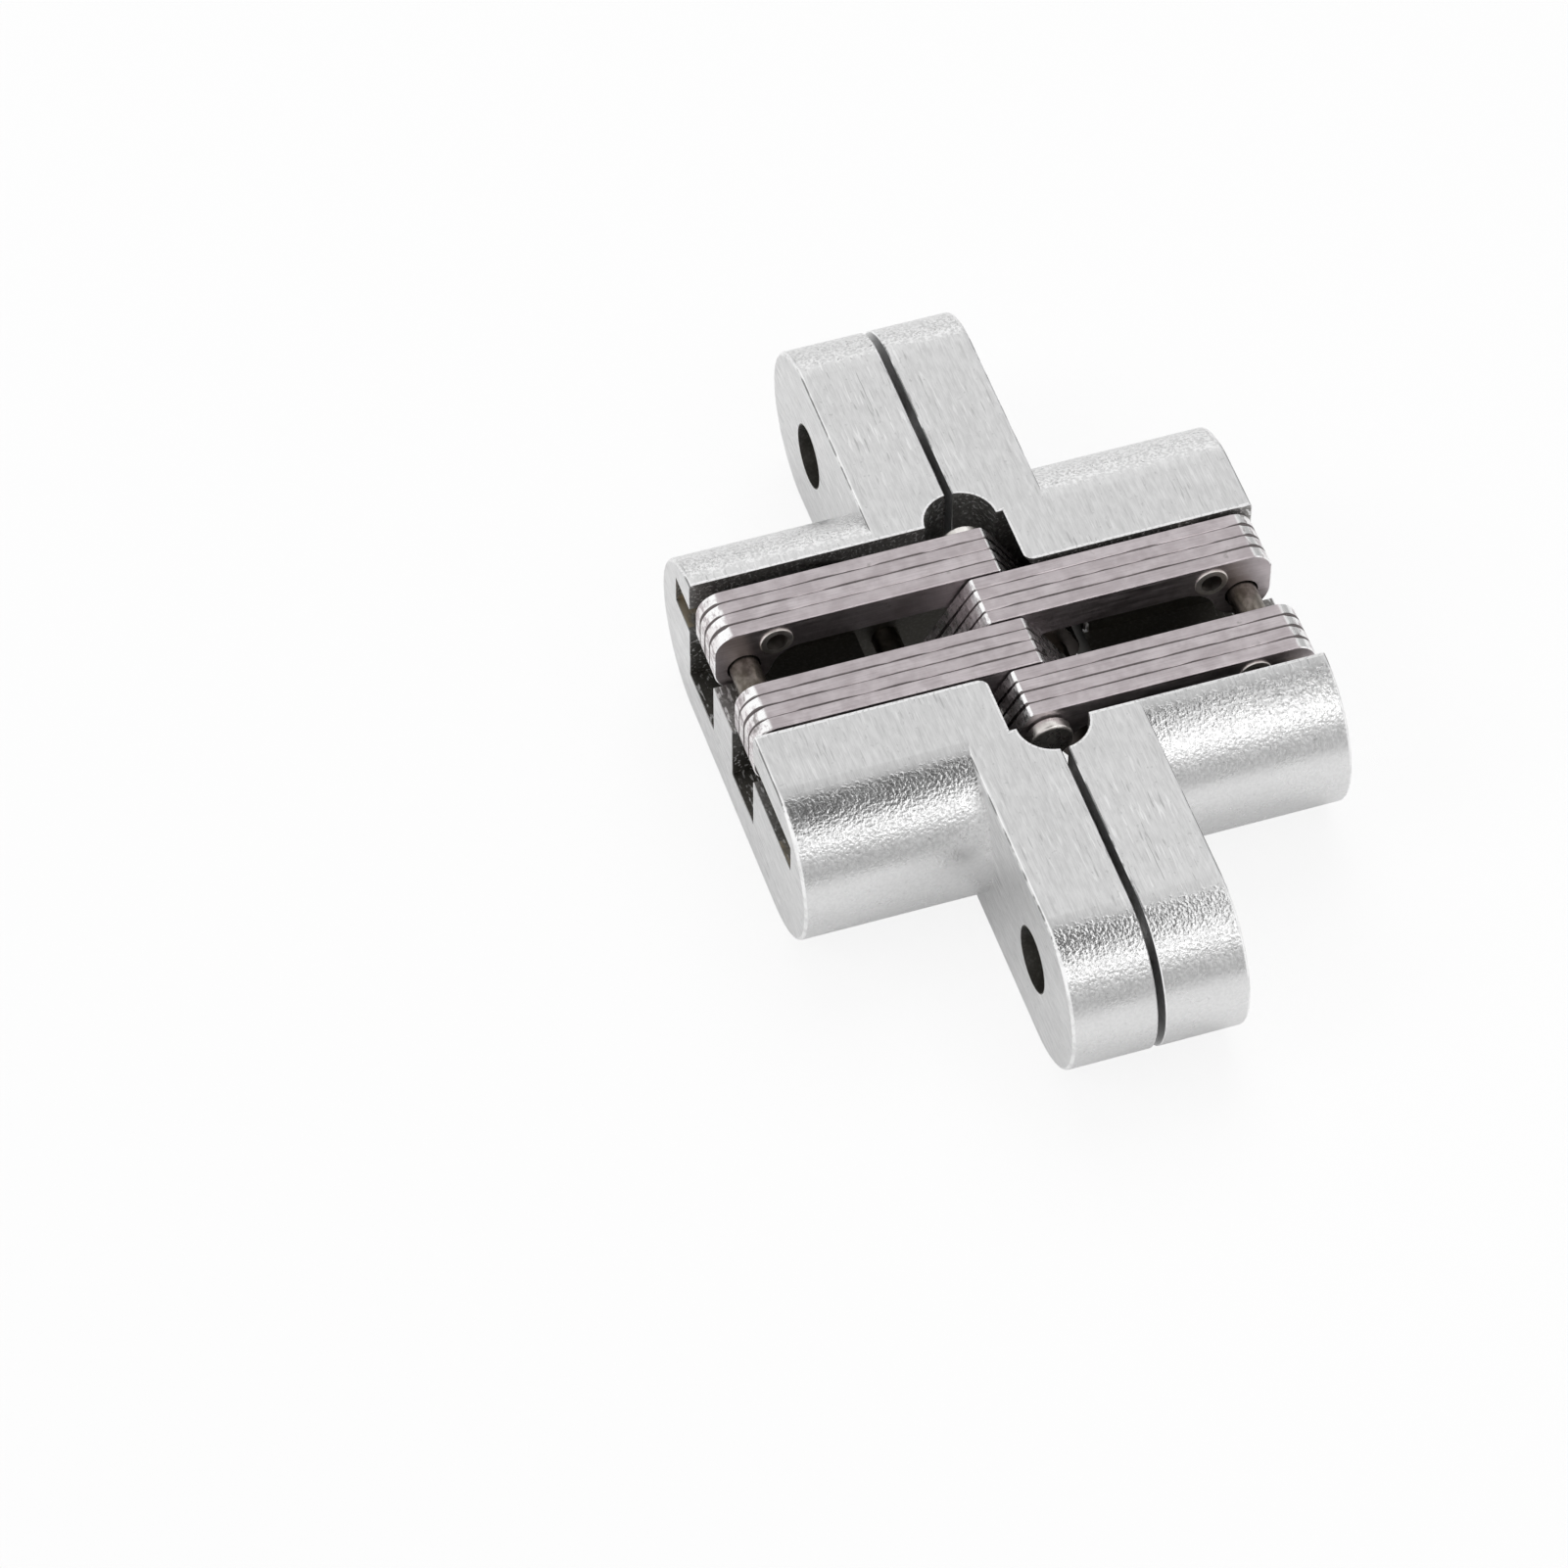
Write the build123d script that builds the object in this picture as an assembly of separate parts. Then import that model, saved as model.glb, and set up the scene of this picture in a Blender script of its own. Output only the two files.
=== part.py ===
import math
import os

from build123d import *

# Concealed door hinge, closed and lying on its knuckle side.
# X runs through both leaves, Y along the leaf plates, Z up; origin at the middle of the underside.
# All sizes in millimetres, angles in degrees.

# Leaf castings
leaf_length = 95.0
leaf_width = 19.0
leaf_depth = 29.0
leaf_gap = 0.8
flange_thick = 9.0
barrel_length = 47.2
outer_edge_r = 0.4
front_edge = 0.12

# Screw holes
screw_spacing = 71.0
screw_hole_d = 7.0
countersink_d = 11.0
countersink_angle = 90.0

# Link plates and stacks
plate_thick = 1.55
plates_per_stack = 4
plate_edge = 0.12
stack_clear = 0.25
link_top_drop = 0.1
neck_height = 3.9
head_r = 3.3
head_corner_x = 2.0
head_corner_r = 0.6
foot_r = 2.9
end_r = 3.2
end_corner_r = 2.6
arch_end_r = 3.4
arch_head_r = 2.4

# Pivots: depth under the top face, the sliders in from the back end, the feet over the underside
centre_depth = 3.4
slider_in = 3.4
slider_depth = 5.4
pivot_x = 8.0
foot_rise = 0.3

# Opening: both leaves together, and each short arm about its fixed pivot
open_angle = 180.0
arm_angle = 112.5

# Pins and rivets
centre_pin_d = 3.2
centre_head_d = 4.8
centre_head_thick = 1.3
centre_head_r = 0.35
slider_pin_d = 3.2
slider_pin_length = 33.8
pivot_pin_d = 3.0
pivot_pin_length = 37.0
pin_chamfer = 0.3
rivet_d = 2.8
rivet_bore_d = 2.2
rivet_rim_d = 3.6
rivet_rim_thick = 0.2
rivet_rim_r = 0.14
rivet_in = 3.5
rivet_up = 2.9
pin_clear = 0.05
seat_clear = 0.03
slider_clear = 0.22

# Channel in the leaf
channel_clear = 0.5
far_clear = 1.5
channel_floor = 5.0
web_thick = 2.8
web_clear = 0.2
arm_clear = 0.45
slot_clear = 0.2
slot_end_clear = 0.3
mouth_reach = 1.7
pocket_top_x = 4.6
pocket_reach = 1.3
pocket_corner_r = 1.0
notch_r = 3.85
notch_reach = 1.3
notch_depth = 9.5

# Places worked out from the sizes above
front_x = leaf_gap / 2
back_x = front_x + leaf_depth
slider_x = back_x - slider_in
pivot_depth = leaf_width - foot_rise - foot_r
slot_half = slider_pin_length / 2 + slot_end_clear
stack_width = plate_thick * plates_per_stack
stack_pitch = stack_width + stack_clear
stack_outer_y = 1.5 * stack_pitch + stack_width / 2
link_top = leaf_width - link_top_drop
neck_z = link_top - neck_height
centre = (0.0, leaf_width - centre_depth)
slider = (-slider_x, leaf_width - slider_depth)
foot = (pivot_x, leaf_width - pivot_depth)
pivot = (-pivot_x, leaf_width - pivot_depth)
rivet = (slider[0] + rivet_in, slider[1] + rivet_up)
channel_far_y = stack_outer_y + far_clear
channel_near_y = stack_outer_y - stack_pitch + channel_clear
centre_hole_r = centre_pin_d / 2 + pin_clear
slider_hole_r = slider_pin_d / 2 + slider_clear
foot_hole_r = pivot_pin_d / 2 + pin_clear
rivet_hole_r = rivet_d / 2 + seat_clear


def along_y(sketch, y_from, y_to):
    # Sketch drawn in X and Z, made into a solid between two places on Y.
    return extrude(Plane.XZ.offset(-y_from) * sketch, amount=y_from - y_to)


def face_up(sketch):
    # The same flat face with its normal along +Z, whichever way its outline was drawn.
    face = sketch.face()
    return -face if face.normal_at().Z < 0 else face


def hull(rounds):
    # Belt round these circles, each given as a place and a radius.
    circles = [Pos(*place) * Circle(radius) for place, radius in rounds]
    return face_up(make_hull([edge for circle in circles for edge in circle.edges()]))


def rod(place, diameter, y_from, y_to):
    return along_y(Pos(*place) * Circle(diameter / 2), y_from, y_to)


def slider_place(angle):
    # Where the left slider pin stands in the left leaf when the hinge is open by this angle.
    arm_turn = math.radians(angle * arm_angle / open_angle)
    link_turn = math.radians(angle) - arm_turn
    arm_x = centre[0] - pivot[0]
    arm_z = centre[1] - pivot[1]
    centre_x = pivot[0] + arm_x * math.cos(arm_turn) + arm_z * math.sin(arm_turn)
    centre_z = pivot[1] - arm_x * math.sin(arm_turn) + arm_z * math.cos(arm_turn)
    long_x = slider[0] - centre[0]
    long_z = slider[1] - centre[1]
    return (
        centre_x + long_x * math.cos(link_turn) + long_z * math.sin(link_turn),
        centre_z - long_x * math.sin(link_turn) + long_z * math.cos(link_turn),
    )


def obround(length, depth):
    # Full-round bar from the front face back to this depth: front rim broken, back rim rounded.
    face = Plane.YZ.offset(-front_x) * Pos(0, leaf_width / 2) * SlotOverall(length, leaf_width)
    bar = extrude(face, amount=-depth)
    bar = fillet(bar.faces().sort_by(Axis.X)[0].edges(), outer_edge_r)
    return chamfer(bar.faces().sort_by(Axis.X)[-1].edges(), front_edge)


def slider_slot():
    # Curved slot that follows the slider pin, open at the back end of the leaf.
    width = slider_pin_d + 2 * slot_clear
    path = ThreePointArc(slider_place(0), slider_place(open_angle / 3), slider_place(open_angle))
    slot = along_y(SlotArc(path, width), -slot_half, slot_half)
    mouth = Pos((slider[0] - back_x) / 2 - front_x, slider[1]) * Rectangle(slider_in + leaf_gap, width)
    return slot + along_y(mouth, -slot_half - mouth_reach, slot_half + mouth_reach)


def edges_near(body, x_from, x_to, y_from, y_to):
    # Edges whose middle lies in this range of X and Y, give or take a hair.
    hair = 0.01
    middle = body.edges().filter_by_position(Axis.X, x_from - hair, x_to + hair)
    return middle.filter_by_position(Axis.Y, y_from - hair, y_to + hair)


def arm_pocket():
    # Room in the thick wall for the other leaf's outermost short arm, with a raked back wall.
    back = pivot[0] - foot_r - arm_clear
    outline = Polygon(
        (leaf_gap, leaf_width + 1),
        (-pocket_top_x, leaf_width + 1),
        (-pocket_top_x, leaf_width),
        (back, pivot[1] + foot_r),
        (back, -1),
        (leaf_gap, -1),
        align=None,
    )
    return along_y(outline, -stack_outer_y - pocket_reach, -channel_near_y + 1)


def screw_hole(y):
    sink_depth = (countersink_d - screw_hole_d) / 2 / math.tan(math.radians(countersink_angle / 2))
    profile = Polygon(
        (0, 0),
        (countersink_d / 2, 0),
        (screw_hole_d / 2, -sink_depth),
        (screw_hole_d / 2, -flange_thick - 1),
        (0, -flange_thick - 1),
        align=None,
    )
    drill = revolve(Plane.XZ * profile, axis=Axis.Z)
    return Pos(-front_x, y, leaf_width / 2) * Rot(0, 90, 0) * drill


def leaf():
    body = obround(leaf_length, flange_thick) + obround(barrel_length, leaf_depth)
    channel = Box(
        back_x + 1, channel_near_y + channel_far_y, leaf_width, align=(Align.MAX, Align.MIN, Align.MIN)
    )
    body -= Pos(0, -channel_near_y, channel_floor) * channel
    web_y = stack_pitch / 2
    web_top = slider[1] - slider_pin_d / 2 - web_clear
    web = Box(web_thick, stack_width, web_top - channel_floor, align=(Align.MIN, Align.CENTER, Align.MIN))
    body += Pos(-back_x, web_y, channel_floor) * web
    window_x = pivot_x + foot_r + arm_clear
    window = Box(
        window_x, channel_near_y + channel_far_y, channel_floor + 2, align=(Align.MAX, Align.MIN, Align.MIN)
    )
    body -= Pos(0, -channel_near_y, -1) * window
    body -= arm_pocket()
    corner = edges_near(body, -window_x, -pocket_top_x, -channel_near_y, -channel_near_y)
    body = fillet(corner, pocket_corner_r)
    notch_y = stack_outer_y + notch_reach
    notch = Cylinder(notch_r, notch_depth + 1, align=(Align.CENTER, Align.CENTER, Align.MIN))
    for side in (-1, 1):
        body -= Pos(0, side * notch_y, leaf_width - notch_depth) * notch
        body -= screw_hole(side * screw_spacing / 2)
    body -= slider_slot()
    bore = pivot_pin_d + 2 * seat_clear
    body -= rod(pivot, bore, -pivot_pin_length / 2 - seat_clear, pivot_pin_length / 2 + seat_clear)
    return body


def arch_fillet(place, radius, corner_r):
    # Hollow corner between a round of the link and the straight underside of its neck.
    side = 1 if place is slider else -1
    drop = place[1] - (neck_z - corner_r)
    x = place[0] + side * math.sqrt((radius + corner_r) ** 2 - drop**2)
    hub = (x, neck_z - corner_r)
    over = (neck_z + link_top) / 2
    wedge = face_up(Polygon(place, (place[0], over), (x, over), hub, align=None))
    return Sketch() + wedge - Pos(*hub) * Circle(corner_r)


def link_outline():
    corner = (head_corner_x - head_corner_r, link_top - head_corner_r)
    end_corner = (slider[0] - end_r + end_corner_r, link_top - end_corner_r)
    outline = Sketch() + hull([(centre, head_r), (foot, foot_r), (corner, head_corner_r)])
    outline += hull([(slider, end_r), (end_corner, end_corner_r), ((slider[0], end_corner[1]), end_corner_r)])
    neck_length = corner[0] - slider[0]
    outline += Pos(slider[0] + neck_length / 2, (link_top + neck_z) / 2) * Rectangle(neck_length, neck_height)
    outline += arch_fillet(slider, end_r, arch_end_r)
    outline += arch_fillet(centre, head_r, arch_head_r)
    outline -= Pos(*centre) * Circle(centre_hole_r)
    outline -= Pos(*slider) * Circle(slider_hole_r)
    outline -= Pos(*foot) * Circle(foot_hole_r)
    outline -= Pos(*rivet) * Circle(rivet_hole_r)
    return outline


def link_plate(outline, y):
    # One stamped plate, its outer edges broken on both sides.
    plate = along_y(outline, y, y + plate_thick)
    rims = [face.outer_wire().edges() for face in plate.faces().filter_by(Axis.Y)]
    return chamfer([edge for rim in rims for edge in rim], plate_edge)


def capped_rod(place, diameter, reach, head_d, head_thick, head_edge_r, middle=0.0):
    # Rod with a flat round head on each end, the heads' outer edges rounded.
    body = rod(place, diameter, middle - reach, middle + reach)
    for side in (-1, 1):
        inner = middle + side * reach
        outer = inner + side * head_thick
        head = rod(place, head_d, min(inner, outer), max(inner, outer))
        outer_face = head.faces().sort_by(Axis.Y)[-1 if side > 0 else 0]
        body += fillet(outer_face.edges(), head_edge_r)
    return body


def stack_rivet(middle):
    reach = stack_width / 2
    bore_end = reach + rivet_rim_thick
    body = capped_rod(rivet, rivet_d, reach, rivet_rim_d, rivet_rim_thick, rivet_rim_r, middle)
    return body - rod(rivet, rivet_bore_d, middle - bore_end, middle + bore_end)


def plain_pin(place, diameter, length):
    pin = rod(place, diameter, -length / 2, length / 2)
    return chamfer(pin.edges().filter_by(GeomType.CIRCLE), pin_chamfer)


def headed_pin():
    reach = stack_outer_y + stack_clear
    return capped_rod(centre, centre_pin_d, reach, centre_head_d, centre_head_thick, centre_head_r)


def left_pieces():
    pieces = {
        "leaf": leaf(),
        "pivot_pin": plain_pin(pivot, pivot_pin_d, pivot_pin_length),
        "slider_pin": plain_pin(slider, slider_pin_d, slider_pin_length),
    }
    outline = link_outline()
    stacks = {"outer": 1.5 * stack_pitch, "inner": -0.5 * stack_pitch}
    for stack, middle in stacks.items():
        start = middle - stack_width / 2
        for index in range(plates_per_stack):
            y = start + index * plate_thick
            pieces[f"{stack}_link_plate_{index + 1}"] = link_plate(outline, y)
        pieces[f"{stack}_stack_rivet"] = stack_rivet(middle)
    return pieces


os.makedirs("parts", exist_ok=True)
for name, piece in left_pieces().items():
    export_step(piece, f"parts/left_{name}.step")
    export_step(Rot(0, 0, 180) * piece, f"parts/right_{name}.step")
export_step(headed_pin(), "parts/centre_pin.step")
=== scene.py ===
import math

import bpy
from mathutils import Matrix, Vector


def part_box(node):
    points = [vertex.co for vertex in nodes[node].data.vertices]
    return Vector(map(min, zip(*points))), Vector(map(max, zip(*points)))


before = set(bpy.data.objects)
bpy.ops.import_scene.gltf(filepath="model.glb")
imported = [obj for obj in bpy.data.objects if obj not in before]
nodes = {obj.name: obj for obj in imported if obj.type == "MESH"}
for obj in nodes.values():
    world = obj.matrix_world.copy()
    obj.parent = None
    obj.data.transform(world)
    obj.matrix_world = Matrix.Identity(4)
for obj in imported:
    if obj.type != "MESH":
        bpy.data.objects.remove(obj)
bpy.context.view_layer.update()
mm = 0.001
noiseSpan = (0.3, 0.7)   # where most values of a noise pattern lie
print("frame loaded:", len(nodes), "pieces")


# small helpers for the node trees
def startMaterial(name):
    material = bpy.data.materials.new(name)
    material.use_nodes = True
    return material, material.node_tree, material.node_tree.nodes["Principled BSDF"]


def feed(tree, socket, value):
    if isinstance(value, bpy.types.NodeSocket):
        tree.links.new(value, socket)
    else:
        socket.default_value = value


def addNode(tree, kind, inputs=None, **settings):
    node = tree.nodes.new("ShaderNode" + kind)
    for key, value in settings.items():
        setattr(node, key, value)
    for key, value in (inputs or {}).items():
        feed(tree, node.inputs[key], value)
    return node


def calc(tree, operation, a, b=0.0, c=0.0):
    return addNode(tree, "Math", {0: a, 1: b, 2: c}, operation=operation).outputs[0]


def times(tree, first, *others):
    for factor in others:
        first = calc(tree, "MULTIPLY", first, factor)
    return first


def largest(tree, first, *others):
    for value in others:
        first = calc(tree, "MAXIMUM", first, value)
    return first


def ramp(tree, value, low, high, toLow=0.0, toHigh=1.0):
    inputs = {"Value": value, "From Min": low, "From Max": high, "To Min": toLow, "To Max": toHigh}
    return addNode(tree, "MapRange", inputs, interpolation_type="SMOOTHSTEP").outputs["Result"]


def blendColour(tree, factor, a, b):
    return addNode(tree, "Mix", {0: factor, 6: a, 7: b}, data_type="RGBA").outputs[2]


def blendValue(tree, factor, a, b):
    return addNode(tree, "Mix", {0: factor, 2: a, 3: b}, data_type="FLOAT").outputs[0]


def pattern(perMetre, detail=2.0, rough=0.5):
    return {"perMetre": perMetre, "detail": detail, "rough": rough}


def noise(tree, place, plan):
    scaled = addNode(tree, "Mapping", {"Vector": place, "Scale": plan["perMetre"]}).outputs[0]
    inputs = {"Vector": scaled, "Scale": 1.0, "Detail": plan["detail"], "Roughness": plan["rough"]}
    return addNode(tree, "TexNoise", inputs).outputs[0]


def bump(tree, height, depth, strength, under=None):
    inputs = {"Height": height, "Distance": depth, "Strength": strength}
    if under is not None:
        inputs["Normal"] = under
    return addNode(tree, "Bump", inputs).outputs[0]


def grey(level, tint=(1.0, 1.0, 1.0)):
    return (level * tint[0], level * tint[1], level * tint[2], 1.0)


# masks, with every measure in millimetres
def millimetres(tree, place):
    scaled = addNode(tree, "Mapping", {"Vector": place, "Scale": (1 / mm, 1 / mm, 1 / mm)}).outputs[0]
    return addNode(tree, "SeparateXYZ", {0: scaled}).outputs


def between(tree, value, low, high):
    return calc(tree, "COMPARE", value, (low + high) / 2, (high - low) / 2)


def insideBox(tree, axes, low, high):
    return times(tree, *[between(tree, *limits) for limits in zip(axes, low, high)])


def insideRound(tree, across, along, middle, radius):
    # both signs of the second axis at once, because the hinge is the same at both ends
    along = calc(tree, "ABSOLUTE", along)
    first = calc(tree, "POWER", calc(tree, "SUBTRACT", across, middle[0]), 2.0)
    second = calc(tree, "POWER", calc(tree, "SUBTRACT", along, middle[1]), 2.0)
    return calc(tree, "LESS_THAN", calc(tree, "ADD", first, second), radius ** 2)


# zinc castings: brushed flats, tumbled grain on the rounds, rough walls inside darkened with painted shade
# a band is (from, to) or (from, to, value at from, value at to)
castZinc = {
    "bright": grey(0.85),
    "dull": grey(0.66),
    "speckLight": grey(0.91),
    "speckDark": grey(0.66),
    "pit": grey(0.32),
    # painted shade line along the edges
    "edgeShadeLine": grey(0.22),
    "satin": grey(0.79),
    "scratchLight": grey(0.96),
    "scratchDark": grey(0.38),
    # painted highlight, partly bright burr and worn metal
    "rim": grey(0.98),
    # painted shade: the rough as-cast walls inside are drawn darker than the outside
    "rawLightShaded": grey(0.48, (1.0, 0.99, 0.97)),
    "rawDarkShaded": grey(0.28, (1.0, 0.98, 0.95)),
    # darker towards the bottom of the hollows
    "dirt": grey(0.08, (1.0, 0.93, 0.76)),
    "grease": grey(0.58, (1.0, 0.87, 0.66)),
    "grain": pattern((3000.0, 3000.0, 3000.0), 1.0),
    "wear": pattern((520.0, 260.0, 520.0), 3.0, 0.6),
    "streaks": pattern((6200.0, 260.0, 6200.0), 3.0, 0.6),
    "scratches": pattern((3600.0, 300.0, 3600.0)),
    "scratchPatches": pattern((75.0, 55.0, 75.0)),
    "dashes": pattern((2600.0, 700.0, 2600.0)),
    "blotches": pattern((240.0, 170.0, 240.0), 4.0, 0.6),
    "pits": pattern((1900.0, 1500.0, 1900.0), 2.0, 0.6),
    "flatBand": (0.10, 0.20, 1.0, 0.0),       # how far a flat may lean toward the ends
    "flatRagged": (-0.04, 0.04),
    "satinBand": (0.35, 0.85, 0.8, 0.0),      # the sides of the rounds, by how far they face up
    "edgeBand": (0.16, 0.38),                 # rounded edges, worn in places, with a painted highlight there
    "edgeWear": (0.36, 0.56, 0.15, 1.0),
    "shadeLineFrom": (0.48, 0.66),                 # painted shade as a dark line along the straight edges
    "shadeLineTo": (0.97, 0.86),
    "shadeLineBreaks": (0.60, 0.46, 0.25, 0.95),
    "rimBand": (0.35, 0.5),
    "blotchShare": 0.35,
    "dashShare": 0.35,
    "dashBand": (0.35, 0.65),
    "patchBand": (0.46, 0.62, 0.3, 0.8),
    "lightScratches": (0.60, 0.68),
    "darkScratches": (0.38, 0.29, 0.0, 0.7),
    "speckBand": (0.32, 0.68),
    "pitBand": (0.36, 0.27, 0.0, 0.9),
    "pitsOnFlats": 0.3,
    "rawBand": (0.45, 0.75),
    "lowDarkeningBand": (13.5, 6.5, 0.0, 0.8),        # darker towards the bottom of the hollows, heights in millimetres
    "lowDarkeningWander": (-2.0, 2.0),
    "crumbTop": (13.0, 17.0),                 # light crumbs high in the hollows and at their outer ends
    "crumbEnd": (-25.0, -27.0),
    "crumbBand": (0.56, 0.66, 0.0, 0.9),
    "greaseWear": (0.40, 0.58, 0.1, 0.9),
    "roughFlat": 0.40,
    "roughRound": 0.28,
    "roughRaw": 0.50,
    "roughWander": (-0.02, 0.02),
    "satinSmooth": 0.95,                      # how far each place loses the grain's relief
    "edgeSmooth": 0.7,
    "rawSmooth": 0.7,
    "grainMiddle": 0.5,
    "grainDepth": 0.00009,
    "grainStrength": 0.8,
    "streakDepth": 0.000016,
    "streakStrength": 0.7,
}

# hollows of the left leaf in millimetres, a hair wider than the casting's own walls
leafHollows = {
    "boxes": [
        {"low": (-29.3, -6.92, 4.9), "high": (1.0, 14.37, 18.9)},       # channel
        {"low": (-11.45, -6.92, 0.15), "high": (-0.55, 14.37, 5.0)},    # window under the arms
        {"low": (-11.45, -14.17, 0.15), "high": (-0.55, -5.8, 18.9)},   # pocket of the outermost arm
        {"low": (-29.3, -19.0, 11.7), "high": (-8.0, 19.0, 15.5)},      # slider slot and its mouth
        {"low": (-29.3, -17.3, 15.4), "high": (-8.0, 17.3, 18.0)},      # slot where it rises
    ],
    "notch": {
        "middle": (0.0, 14.075),
        "radius": 3.85,
        "wall": 0.03,
        "low": 9.45,
        "high": 18.95,
        "front": -0.5,
    },
    "screw": {"middle": (9.5, 35.5), "radius": 3.6},
    "openings": [
        {"low": (-29.3, -6.92), "high": (1.0, 14.37)},                  # channel
        {"low": (-4.6, -14.17), "high": (-0.55, -5.8)},                 # pocket, narrower at the top
    ],
    "top": 18.9,
    "rim": 0.24,
    "rimHeight": 0.3,
    "grease": {"low": (-29.3, 14.9, 11.6), "high": (-24.0, 19.2, 12.5)},      # both ends of the slot
}


def hollowMask(tree, axes):
    h = leafHollows
    masks = [insideBox(tree, axes, box["low"], box["high"]) for box in h["boxes"]]
    notch = h["notch"]
    bowl = insideRound(tree, axes[0], axes[1], notch["middle"], notch["radius"] + notch["wall"])
    deep = between(tree, axes[2], notch["low"], notch["high"])
    behindFront = calc(tree, "LESS_THAN", axes[0], notch["front"])
    masks.append(times(tree, bowl, deep, behindFront))
    masks.append(insideRound(tree, axes[2], axes[1], h["screw"]["middle"], h["screw"]["radius"]))
    return largest(tree, *masks)


def rimMask(tree, axes):
    # thin bright burr with a painted highlight on the top face round the channel, the pocket and the
    # notches
    h = leafHollows
    masks = []
    for opening in h["openings"]:
        low = (opening["low"][0] - h["rim"], opening["low"][1] - h["rim"], h["top"])
        high = (opening["high"][0], opening["high"][1] + h["rim"], h["top"] + h["rimHeight"])
        masks.append(insideBox(tree, axes, low, high))
    notch = h["notch"]
    ring = insideRound(tree, axes[0], axes[1], notch["middle"], notch["radius"] + h["rim"])
    masks.append(times(tree, ring, calc(tree, "GREATER_THAN", axes[2], h["top"])))
    return largest(tree, *masks)


def brushedColour(tree, place, streak, blotch, dash, pits):
    c = castZinc
    tone = ramp(tree, streak, *noiseSpan)
    tone = blendValue(tree, c["blotchShare"], tone, ramp(tree, blotch, *noiseSpan))
    tone = blendValue(tree, c["dashShare"], tone, ramp(tree, dash, *c["dashBand"]))
    colour = blendColour(tree, tone, c["dull"], c["bright"])
    scratch = noise(tree, place, c["scratches"])
    patch = ramp(tree, noise(tree, place, c["scratchPatches"]), *c["patchBand"])
    light = times(tree, ramp(tree, scratch, *c["lightScratches"]), patch)
    dark = times(tree, ramp(tree, scratch, *c["darkScratches"]), patch)
    colour = blendColour(tree, light, colour, c["scratchLight"])
    colour = blendColour(tree, dark, colour, c["scratchDark"])
    return blendColour(tree, times(tree, pits, c["pitsOnFlats"]), colour, c["pit"])


def tumbledColour(tree, grain, pits, satin):
    c = castZinc
    colour = blendColour(tree, ramp(tree, grain, *c["speckBand"]), c["speckDark"], c["speckLight"])
    colour = blendColour(tree, pits, colour, c["pit"])
    return blendColour(tree, satin, colour, c["satin"])


def hollowColour(tree, axes, grain, wear, blotch, dash):
    c = castZinc
    # painted shade: rough as-cast walls of the hollows, drawn darker than the outside
    colour = blendColour(tree, ramp(tree, grain, *c["rawBand"]), c["rawDarkShaded"], c["rawLightShaded"])
    # darker towards the bottom of the hollows
    height = calc(tree, "ADD", axes[2], ramp(tree, blotch, *noiseSpan, *c["lowDarkeningWander"]))
    colour = blendColour(tree, ramp(tree, height, *c["lowDarkeningBand"]), colour, c["dirt"])
    crumbly = largest(tree, ramp(tree, axes[2], *c["crumbTop"]), ramp(tree, axes[0], *c["crumbEnd"]))
    crumbs = times(tree, ramp(tree, dash, *c["crumbBand"]), crumbly)
    colour = blendColour(tree, crumbs, colour, c["speckLight"])
    bothEnds = [axes[0], calc(tree, "ABSOLUTE", axes[1]), axes[2]]
    grease = insideBox(tree, bothEnds, leafHollows["grease"]["low"], leafHollows["grease"]["high"])
    grease = times(tree, grease, ramp(tree, wear, *c["greaseWear"]))
    return blendColour(tree, grease, colour, c["grease"])


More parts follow.
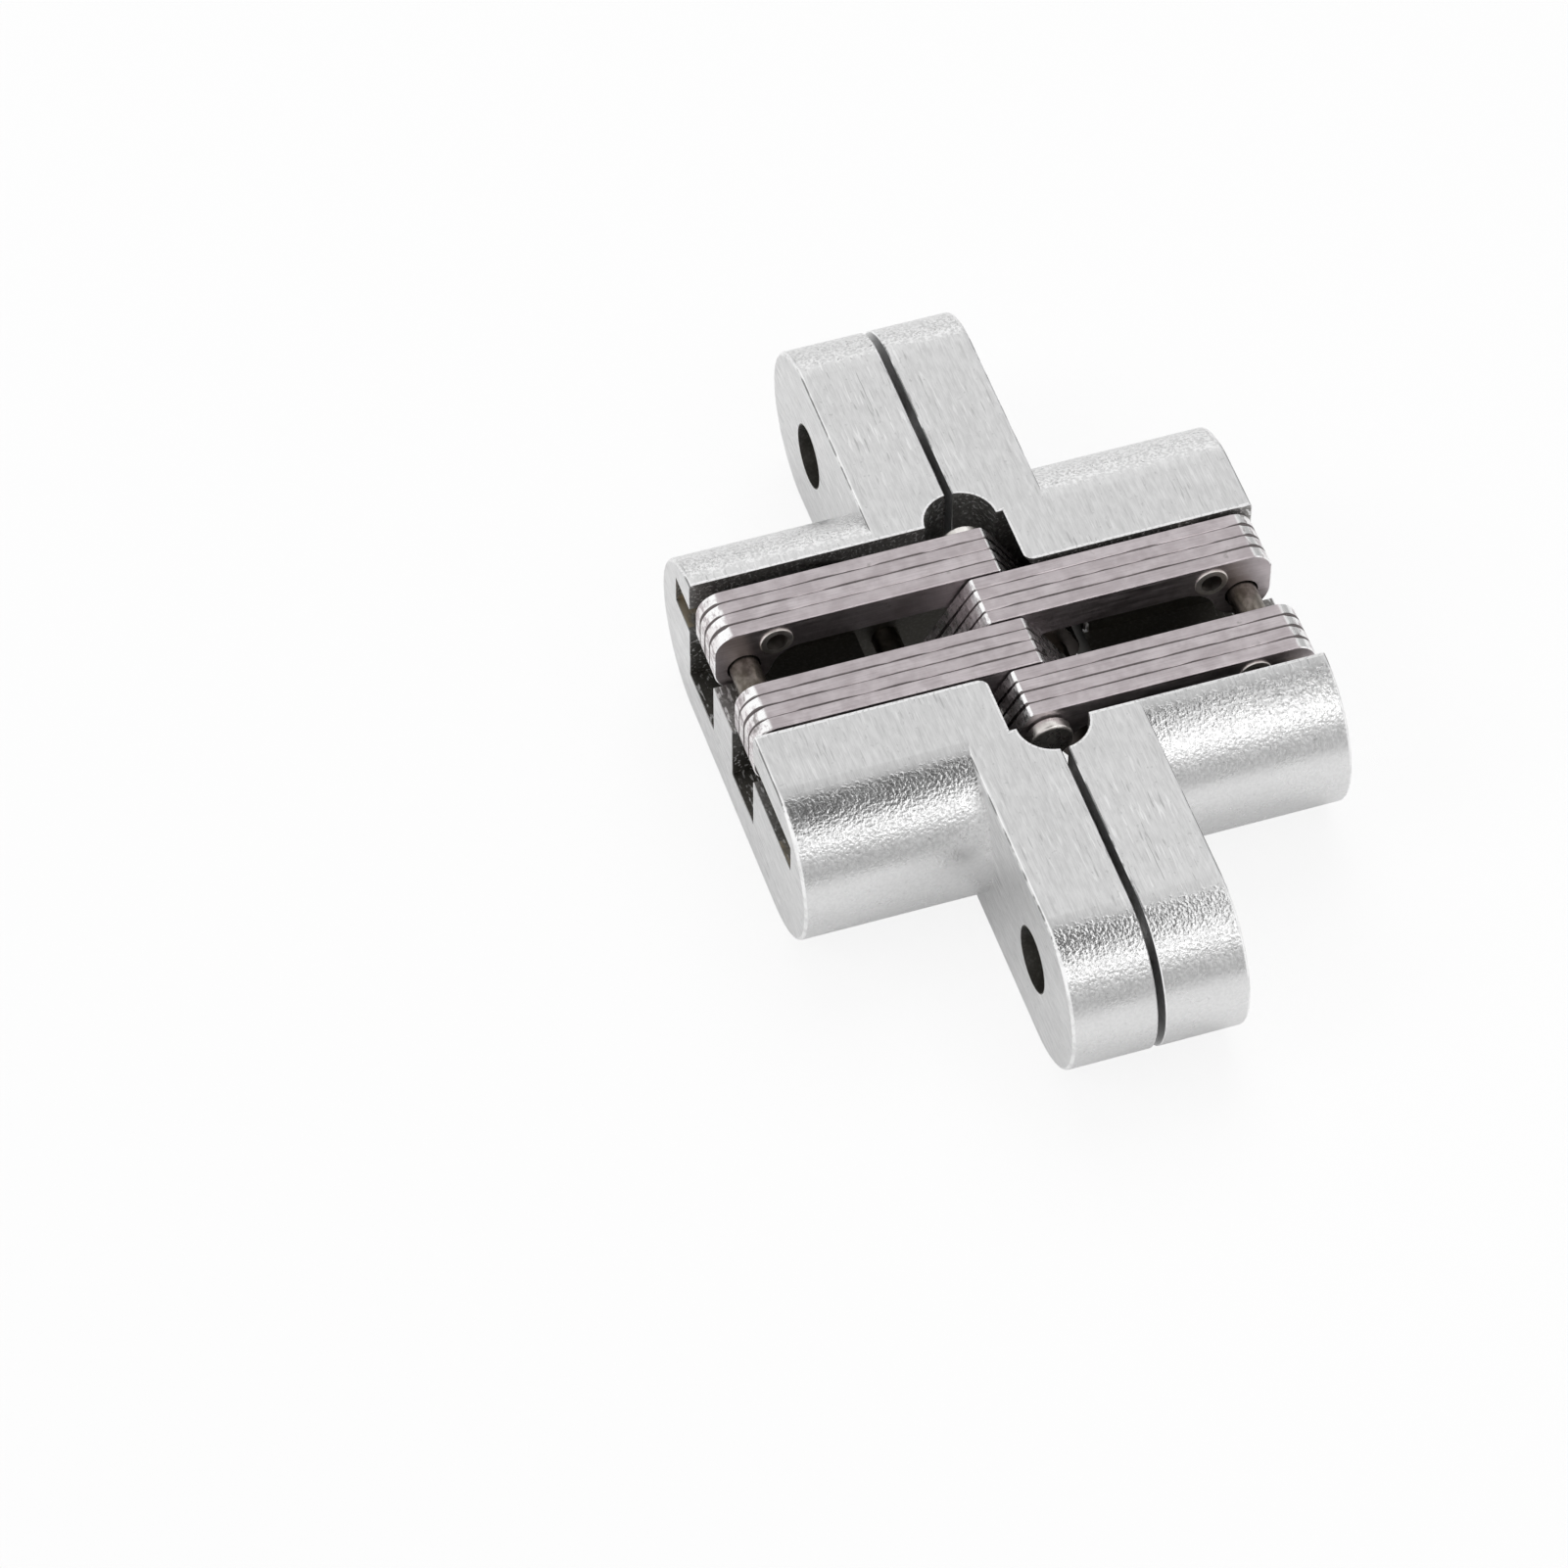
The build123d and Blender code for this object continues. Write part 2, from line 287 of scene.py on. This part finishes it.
def makeCastZinc(name, turn):
    c = castZinc
    material, tree, shader = startMaterial(name)
    coord = addNode(tree, "TexCoord")
    turned = {"Vector": coord.outputs["Object"], "Rotation": (0, 0, turn)}
    place = addNode(tree, "Mapping", turned).outputs[0]
    axes = millimetres(tree, place)
    facing = addNode(tree, "SeparateXYZ", {0: coord.outputs["Normal"]}).outputs
    sideways, endways, upright = [calc(tree, "ABSOLUTE", part) for part in facing]
    grain = noise(tree, place, c["grain"])
    wear = noise(tree, place, c["wear"])
    streak = noise(tree, place, c["streaks"])
    blotch = noise(tree, place, c["blotches"])
    dash = noise(tree, place, c["dashes"])
    pits = ramp(tree, noise(tree, place, c["pits"]), *c["pitBand"])

    # where each finish lies
    ragged = calc(tree, "ADD", endways, ramp(tree, grain, *noiseSpan, *c["flatRagged"]))
    flat = ramp(tree, ragged, *c["flatBand"])
    satin = ramp(tree, upright, *c["satinBand"])
    raw = hollowMask(tree, axes)
    # painted highlight, partly a real burr: a bright rim round the openings
    rim = times(tree, rimMask(tree, axes), ramp(tree, grain, *c["rimBand"]))
    across = calc(tree, "SQRT", calc(tree, "SUBTRACT", 1.0, calc(tree, "POWER", sideways, 2.0)))
    # painted highlight on the rounded edges, partly worn metal
    wornEdgeHighlight = ramp(tree, times(tree, sideways, across), *c["edgeBand"])
    wornEdgeHighlight = times(tree, wornEdgeHighlight, ramp(tree, wear, *c["edgeWear"]))
    # painted shade: a dark line on the rounded edges of the flats, broken up in places
    shadeLine = times(tree, ramp(tree, sideways, *c["shadeLineFrom"]), ramp(tree, sideways, *c["shadeLineTo"]))
    shadeLine = times(tree, shadeLine, ramp(tree, wear, *c["shadeLineBreaks"]), flat)

    brushed = brushedColour(tree, place, streak, blotch, dash, pits)
    skin = blendColour(tree, flat, tumbledColour(tree, grain, pits, satin), brushed)
    skin = blendColour(tree, largest(tree, rim, wornEdgeHighlight), skin, c["rim"])
    skin = blendColour(tree, shadeLine, skin, c["edgeShadeLine"])
    inner = hollowColour(tree, axes, grain, wear, blotch, dash)
    feed(tree, shader.inputs["Base Color"], blendColour(tree, raw, skin, inner))
    sheen = blendValue(tree, calc(tree, "SUBTRACT", flat, wornEdgeHighlight), c["roughRound"], c["roughFlat"])
    sheen = calc(tree, "ADD", sheen, ramp(tree, blotch, *noiseSpan, *c["roughWander"]))
    feed(tree, shader.inputs["Roughness"], blendValue(tree, raw, sheen, c["roughRaw"]))
    shader.inputs["Metallic"].default_value = 1.0
    smooth = largest(tree, flat, times(tree, satin, c["satinSmooth"]), times(tree, wornEdgeHighlight, c["edgeSmooth"]))
    smooth = blendValue(tree, raw, smooth, c["rawSmooth"])
    relief = blendValue(tree, smooth, grain, c["grainMiddle"])
    grained = bump(tree, relief, c["grainDepth"], c["grainStrength"])
    feed(tree, shader.inputs["Normal"], bump(tree, streak, c["streakDepth"], c["streakStrength"], grained))
    return material


# stamped link plates: pinkish grey sheared edges, fine marks along the plate, torn ends with painted glints
# and painted highlights, dirt in the joints between the plates with painted shade where they widen at the
# ends, and darker low on the arms
linkSteel = {
    "light": grey(0.70, (1.0, 0.92, 0.945)),
    "dark": grey(0.46, (1.0, 0.89, 0.92)),
    "stain": grey(0.24, (1.0, 0.92, 0.88)),
    "joint": grey(0.14, (1.0, 0.88, 0.88)),
    # painted glint on the torn ends
    "glint": grey(0.95, (1.0, 0.97, 0.97)),
    # painted highlight on the plates' end corners and at the top of the inner ends
    "endHighlight": grey(0.99),
    # on the links: darker towards the bottom of the arms
    "grease": grey(0.10, (1.0, 0.86, 0.72)),
    "shades": (1.0, 0.8, 1.1, 0.9),           # the plates differ a little from one to the next
    "marks": pattern((240.0, 5200.0, 5200.0), 3.0, 0.6),
    "clouds": pattern((420.0, 420.0, 420.0), 4.0, 0.6),
    "tears": pattern((1500.0, 700.0, 1500.0), 3.0, 0.6),
    "jointDirt": pattern((160.0, 900.0, 160.0), 2.0, 0.6),
    "cloudShare": 0.5,
    "cloudBand": (0.35, 0.65),
    "stainBand": (0.64, 0.76, 0.0, 0.6),
    "endBand": (0.12, 0.4),                   # where a plate turns over to its end
    "glintBand": (0.46, 0.56, 0.1, 1.0),
    "dullBand": (0.42, 0.3, 0.0, 0.7),
    "cornerFrom": (0.15, 0.3),                # painted highlight on the corner between the top and the end
    "cornerTo": (0.85, 0.65),
    "endHighlightHeights": (18.0, 18.4),                 # painted highlight as a bright bead at the top of the inner ends, in millimetres
    "endHighlightReach": 7.0,
    "endHighlightBreaks": (0.38, 0.5, 0.3, 1.0),
    "pitch": 6.45,                            # from stack to stack, in millimetres
    "plate": 1.55,
    "jointReach": 1.7,                        # from the middle of a stack, in plates
    "jointBand": (0.04, 0.14, 1.0, 0.0),
    "jointWander": (0.35, 0.65, -0.05, 0.07),
    "endJointShade": 0.12,                         # how much wider the dark joints are drawn at the plates' ends, painted shade of their rounded edges
    "armDarkeningBand": (10.5, 7.0, 0.0, 0.85),     # darker towards the bottom of the arms, heights in millimetres
    "armDarkeningWander": (-1.5, 1.5),
    "rough": (0.32, 0.48),
    "roughGlint": 0.22,
    "markDepth": 0.00003,
    "tornDepth": 0.00010,
    "reliefStrength": 0.6,
}


def jointMask(tree, along, dirt, ending):
    # how near a point is to a joint between two plates of one stack
    c = linkSteel
    turns = calc(tree, "FRACT", calc(tree, "DIVIDE", along, c["pitch"]))
    fromMiddle = times(tree, calc(tree, "SUBTRACT", turns, 0.5), c["pitch"])
    nearest = times(tree, calc(tree, "ROUND", calc(tree, "DIVIDE", fromMiddle, c["plate"])), c["plate"])
    away = calc(tree, "ABSOLUTE", calc(tree, "SUBTRACT", fromMiddle, nearest))
    away = calc(tree, "ADD", away, ramp(tree, dirt, *c["jointWander"]))
    # painted shade: the joints are drawn wider at the plates' ends
    away = calc(tree, "SUBTRACT", away, times(tree, ending, c["endJointShade"]))
    within = calc(tree, "LESS_THAN", calc(tree, "ABSOLUTE", fromMiddle), c["jointReach"] * c["plate"])
    return times(tree, ramp(tree, away, *c["jointBand"]), within)


def makeLinkSteel(name, shade):
    c = linkSteel
    material, tree, shader = startMaterial(name)
    coord = addNode(tree, "TexCoord")
    place = coord.outputs["Object"]
    axes = millimetres(tree, place)
    facing = addNode(tree, "SeparateXYZ", {0: coord.outputs["Normal"]}).outputs
    endways = calc(tree, "ABSOLUTE", facing[0])
    marks = noise(tree, place, c["marks"])
    clouds = noise(tree, place, c["clouds"])
    tears = noise(tree, place, c["tears"])

    cloudy = ramp(tree, clouds, *c["cloudBand"])
    tone = blendValue(tree, c["cloudShare"], ramp(tree, marks, *noiseSpan), cloudy)
    skin = blendColour(tree, times(tree, tone, shade), c["dark"], c["light"])
    skin = blendColour(tree, ramp(tree, clouds, *c["stainBand"]), skin, c["stain"])
    ending = ramp(tree, endways, *c["endBand"])
    # painted glints on the torn ends
    glint = times(tree, ramp(tree, tears, *c["glintBand"]), ending)
    skin = blendColour(tree, glint, skin, c["glint"])
    # painted highlights on the corners and at the top of the inner ends
    patchy = ramp(tree, tears, *c["endHighlightBreaks"])
    corner = times(tree, ramp(tree, endways, *c["cornerFrom"]), ramp(tree, endways, *c["cornerTo"]), patchy)
    skin = blendColour(tree, corner, skin, c["endHighlight"])
    dull = times(tree, ramp(tree, tears, *c["dullBand"]), ending)
    skin = blendColour(tree, dull, skin, c["stain"])
    inward = calc(tree, "LESS_THAN", calc(tree, "ABSOLUTE", axes[0]), c["endHighlightReach"])
    endHighlight = times(tree, ending, ramp(tree, axes[2], *c["endHighlightHeights"]), inward, patchy)
    skin = blendColour(tree, endHighlight, skin, c["endHighlight"])
    joint = jointMask(tree, axes[1], noise(tree, place, c["jointDirt"]), ending)
    skin = blendColour(tree, joint, skin, c["joint"])
    # darker towards the bottom of the arms
    height = calc(tree, "ADD", axes[2], ramp(tree, clouds, *noiseSpan, *c["armDarkeningWander"]))
    skin = blendColour(tree, ramp(tree, height, *c["armDarkeningBand"]), skin, c["grease"])
    feed(tree, shader.inputs["Base Color"], skin)
    sheen = ramp(tree, marks, *noiseSpan, *c["rough"])
    polished = largest(tree, glint, corner)
    feed(tree, shader.inputs["Roughness"], blendValue(tree, polished, sheen, c["roughGlint"]))
    shader.inputs["Metallic"].default_value = 1.0
    relief = blendValue(tree, ending, marks, tears)
    endDepth = blendValue(tree, corner, c["tornDepth"], c["markDepth"])
    depth = blendValue(tree, ending, c["markDepth"], endDepth)
    feed(tree, shader.inputs["Normal"], bump(tree, relief, depth, c["reliefStrength"]))
    return material


# centre pin: drawn steel with a thin brown film of oil
pinSteel = {
    "light": grey(0.96, (1.0, 0.97, 0.94)),
    "dark": grey(0.70, (1.0, 0.95, 0.90)),
    "rough": (0.40, 0.22),
    "clouds": pattern((700.0, 500.0, 700.0), 4.0, 0.6),
    "drawn": pattern((6500.0, 180.0, 6500.0)),
    "drawnDepth": 0.00001,
    "drawnStrength": 0.5,
}

# pins inside the leaves: the same steel under old brown grease
greasySteel = {
    **pinSteel,
    "light": grey(0.28, (1.0, 0.90, 0.80)),
    "dark": grey(0.13, (1.0, 0.86, 0.70)),
    "rough": (0.46, 0.28),
    "clouds": pattern((900.0, 700.0, 900.0), 4.0, 0.6),
}

# stack rivets: rolled from thin tube, with painted shade in the bore
rivetBox = [Vector(corner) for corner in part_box("left_inner_stack_rivet")]
rivetMiddle = (rivetBox[0] + rivetBox[1]) / 2 / mm
rivetSteel = {
    **pinSteel,
    "light": grey(0.95, (1.0, 0.96, 0.92)),
    "dark": grey(0.70, (1.0, 0.94, 0.88)),
    "rough": (0.52, 0.34),
    "clouds": pattern((900.0, 900.0, 900.0), 4.0, 0.6),
    "drawn": pattern((2500.0, 900.0, 2500.0)),
    "drawnDepth": 0.00002,
    # painted shade inside the bore
    "bore": grey(0.40, (1.0, 0.92, 0.84)),
    "boreMiddle": (rivetMiddle.z, abs(rivetMiddle.x)),
    "boreRadius": 1.13,    # a hair over the tube's own, in millimetres
}


def makePinSteel(name, c):
    material, tree, shader = startMaterial(name)
    place = addNode(tree, "TexCoord").outputs["Object"]
    clouds = noise(tree, place, c["clouds"])
    skin = blendColour(tree, ramp(tree, clouds, *noiseSpan), c["dark"], c["light"])
    # painted shade inside the rivet's bore
    if "bore" in c:
        axes = millimetres(tree, place)
        bored = insideRound(tree, axes[2], axes[0], c["boreMiddle"], c["boreRadius"])
        skin = blendColour(tree, bored, skin, c["bore"])
    feed(tree, shader.inputs["Base Color"], skin)
    feed(tree, shader.inputs["Roughness"], ramp(tree, clouds, *noiseSpan, *c["rough"]))
    shader.inputs["Metallic"].default_value = 1.0
    drawn = noise(tree, place, c["drawn"])
    feed(tree, shader.inputs["Normal"], bump(tree, drawn, c["drawnDepth"], c["drawnStrength"]))
    return material


def dress(piece, material):
    piece.data.materials.clear()
    piece.data.materials.append(material)
    for face in piece.data.polygons:
        face.material_index = 0


leftZinc = makeCastZinc("castZincLeft", 0.0)
rightZinc = makeCastZinc("castZincRight", math.pi)      # the same casting, turned half a turn
plateSteels = [makeLinkSteel(f"linkSteel{i + 1}", shade) for i, shade in enumerate(linkSteel["shades"])]
pinFinish = makePinSteel("pinSteel", pinSteel)
sliderFinish = makePinSteel("greasySteel", greasySteel)
rivetFinish = makePinSteel("rivetSteel", rivetSteel)
for name, piece in nodes.items():
    if name == "left_leaf":
        dress(piece, leftZinc)
    elif name == "right_leaf":
        dress(piece, rightZinc)
    elif "link_plate" in name:
        dress(piece, plateSteels[(int(name[-1]) + ("inner" in name)) % len(plateSteels)])
    elif "rivet" in name:
        dress(piece, rivetFinish)
    elif "slider" in name or "pivot" in name:
        dress(piece, sliderFinish)
    else:
        dress(piece, pinFinish)
print("finishes on", len(nodes), "pieces")


# pale floor: white, takes the soft shadow, and lets an opened leaf under it show through
floorPlan = {
    "half": 3.0,
    "drop": 0.00005,
    "colour": grey(0.95),
    "rough": 0.9,
    "specular": 0.1,
    "clear": 0.86,         # how far the camera sees through it
    "glow": 0.22,          # how far it looks lit where the metal mirrors it
    "glowLevel": 0.9,
}


def makeFloor():
    plan = floorPlan
    bpy.ops.mesh.primitive_plane_add(size=2 * plan["half"], location=(0, 0, -plan["drop"]))
    floor = bpy.context.object
    floor.name = "floor"
    material, tree, shader = startMaterial("paleFloor")
    shader.inputs["Base Color"].default_value = plan["colour"]
    shader.inputs["Roughness"].default_value = plan["rough"]
    shader.inputs["Specular IOR Level"].default_value = plan["specular"]
    rays = addNode(tree, "LightPath").outputs
    lifted = times(tree, rays["Is Glossy Ray"], plan["glow"])
    glow = addNode(tree, "Emission", {"Color": grey(1.0), "Strength": plan["glowLevel"]})
    pale = addNode(tree, "MixShader", {0: lifted, 1: shader.outputs[0], 2: glow.outputs[0]})
    clear = times(tree, rays["Is Camera Ray"], plan["clear"])
    glass = addNode(tree, "BsdfTransparent")
    mix = addNode(tree, "MixShader", {0: clear, 1: pale.outputs[0], 2: glass.outputs[0]})
    tree.links.new(mix.outputs[0], tree.nodes["Material Output"].inputs["Surface"])
    dress(floor, material)


makeFloor()
print("floor laid")


# plain studio light: a white surround with dimmer patches that the metal mirrors, two large soft lamps,
# a smaller lamp at the front and a narrow card close over the right leaf
studio = {
    "surround": 0.55,                # level for all but what the metal mirrors
    "dimPatches": [
        {"toward": (0.10, 0.01, 0.99), "inside": 11.0, "outside": 34.0, "level": 0.05},
        {"toward": (0.20, -0.77, 0.60), "inside": 8.0, "outside": 26.0, "level": 0.60},
        {"toward": (0.15, -0.98, 0.08), "inside": 6.0, "outside": 26.0, "level": 0.45},
        {"toward": (-0.15, 0.98, 0.08), "inside": 6.0, "outside": 26.0, "level": 0.45},
        {"toward": (0.81, 0.56, 0.17), "inside": 11.0, "outside": 29.0, "level": 0.45},
    ],
    "lamps": {
        "topBack": {"at": (0.25, 0.75, 1.05), "wide": 0.9, "long": 0.9, "power": 6.0},
        "leftSide": {"at": (-1.10, 0.10, 0.90), "wide": 0.7, "long": 0.7, "power": 3.5},
        "front": {"at": (0.29, -0.86, 0.94), "wide": 0.30, "long": 0.30, "power": 0.52},
        "card": {"at": (0.045, -0.05, 0.117), "wide": 0.024, "long": 0.097, "power": 0.0108},
    },
    "mirrored": ["front", "card"],   # the lamps that the metal shows
    "straightDown": ["card"],        # the other lamps are turned to the middle
    "middle": (0.0, 0.0, 0.01),
}


def makeSurround():
    world = bpy.data.worlds.new("studio")
    bpy.context.scene.world = world
    world.use_nodes = True
    tree = world.node_tree
    rays = addNode(tree, "LightPath").outputs
    direction = addNode(tree, "TexCoord").outputs["Generated"]
    patches = []
    for patch in studio["dimPatches"]:
        toward = Vector(patch["toward"]).normalized()
        facing = addNode(tree, "VectorMath", {0: direction, 1: toward}, operation="DOT_PRODUCT")
        inside = math.cos(math.radians(patch["inside"]))
        outside = math.cos(math.radians(patch["outside"]))
        patches.append(ramp(tree, facing.outputs["Value"], outside, inside, 1.0, patch["level"]))
    reflected = largest(tree, rays["Is Glossy Ray"], rays["Is Transmission Ray"])
    level = blendValue(tree, reflected, studio["surround"], times(tree, *patches))
    level = blendValue(tree, rays["Is Camera Ray"], level, 1.0)
    background = tree.nodes["Background"]
    background.inputs["Color"].default_value = grey(1.0)
    tree.links.new(level, background.inputs["Strength"])


def makeLamps():
    for name, plan in studio["lamps"].items():
        data = bpy.data.lights.new(name, "AREA")
        data.shape = "RECTANGLE"
        data.size = plan["wide"]
        data.size_y = plan["long"]
        data.energy = plan["power"]
        lamp = bpy.data.objects.new(name, data)
        bpy.context.scene.collection.objects.link(lamp)
        lamp.location = plan["at"]
        lamp.visible_glossy = name in studio["mirrored"]
        lamp.visible_camera = False
        if name not in studio["straightDown"]:
            aim = Vector(studio["middle"]) - lamp.location
            lamp.rotation_euler = aim.to_track_quat("-Z", "Y").to_euler()


makeSurround()
makeLamps()
print("studio lit")


# camera at the photograph's angle
photoView = {
    "azimuth": -18.32,
    "elevation": 50.73,
    "roll": 0.09,
    "distance": 0.7451,
    "pivot": (-0.0004, 0.0, 0.019),
    "right": 0.02228,      # how far the pivot stands right of the picture's middle, and above it
    "up": 0.01674,
    "lens": 167.55,
    "sensor": 36.0,
    "clip": (0.01, 20.0),
}


def makeCamera():
    v = photoView
    azimuth = math.radians(v["azimuth"])
    elevation = math.radians(v["elevation"])
    ahead = Vector((
        -math.sin(azimuth) * math.cos(elevation),
        math.cos(azimuth) * math.cos(elevation),
        -math.sin(elevation),
    ))
    right = Vector((math.cos(azimuth), math.sin(azimuth), 0.0))
    right = Matrix.Rotation(math.radians(-v["roll"]), 3, ahead) @ right
    up = right.cross(ahead)
    eye = Vector(v["pivot"]) - v["right"] * right - v["up"] * up - v["distance"] * ahead
    data = bpy.data.cameras.new("photoCamera")
    data.lens = v["lens"]
    data.sensor_width = v["sensor"]
    data.clip_start, data.clip_end = v["clip"]
    camera = bpy.data.objects.new("photoCamera", data)
    bpy.context.scene.collection.objects.link(camera)
    turn = Matrix((right, up, -ahead)).transposed().to_4x4()
    camera.matrix_world = Matrix.Translation(eye) @ turn
    bpy.context.scene.camera = camera


makeCamera()
bpy.context.scene.view_settings.view_transform = "Standard"
print("camera set")
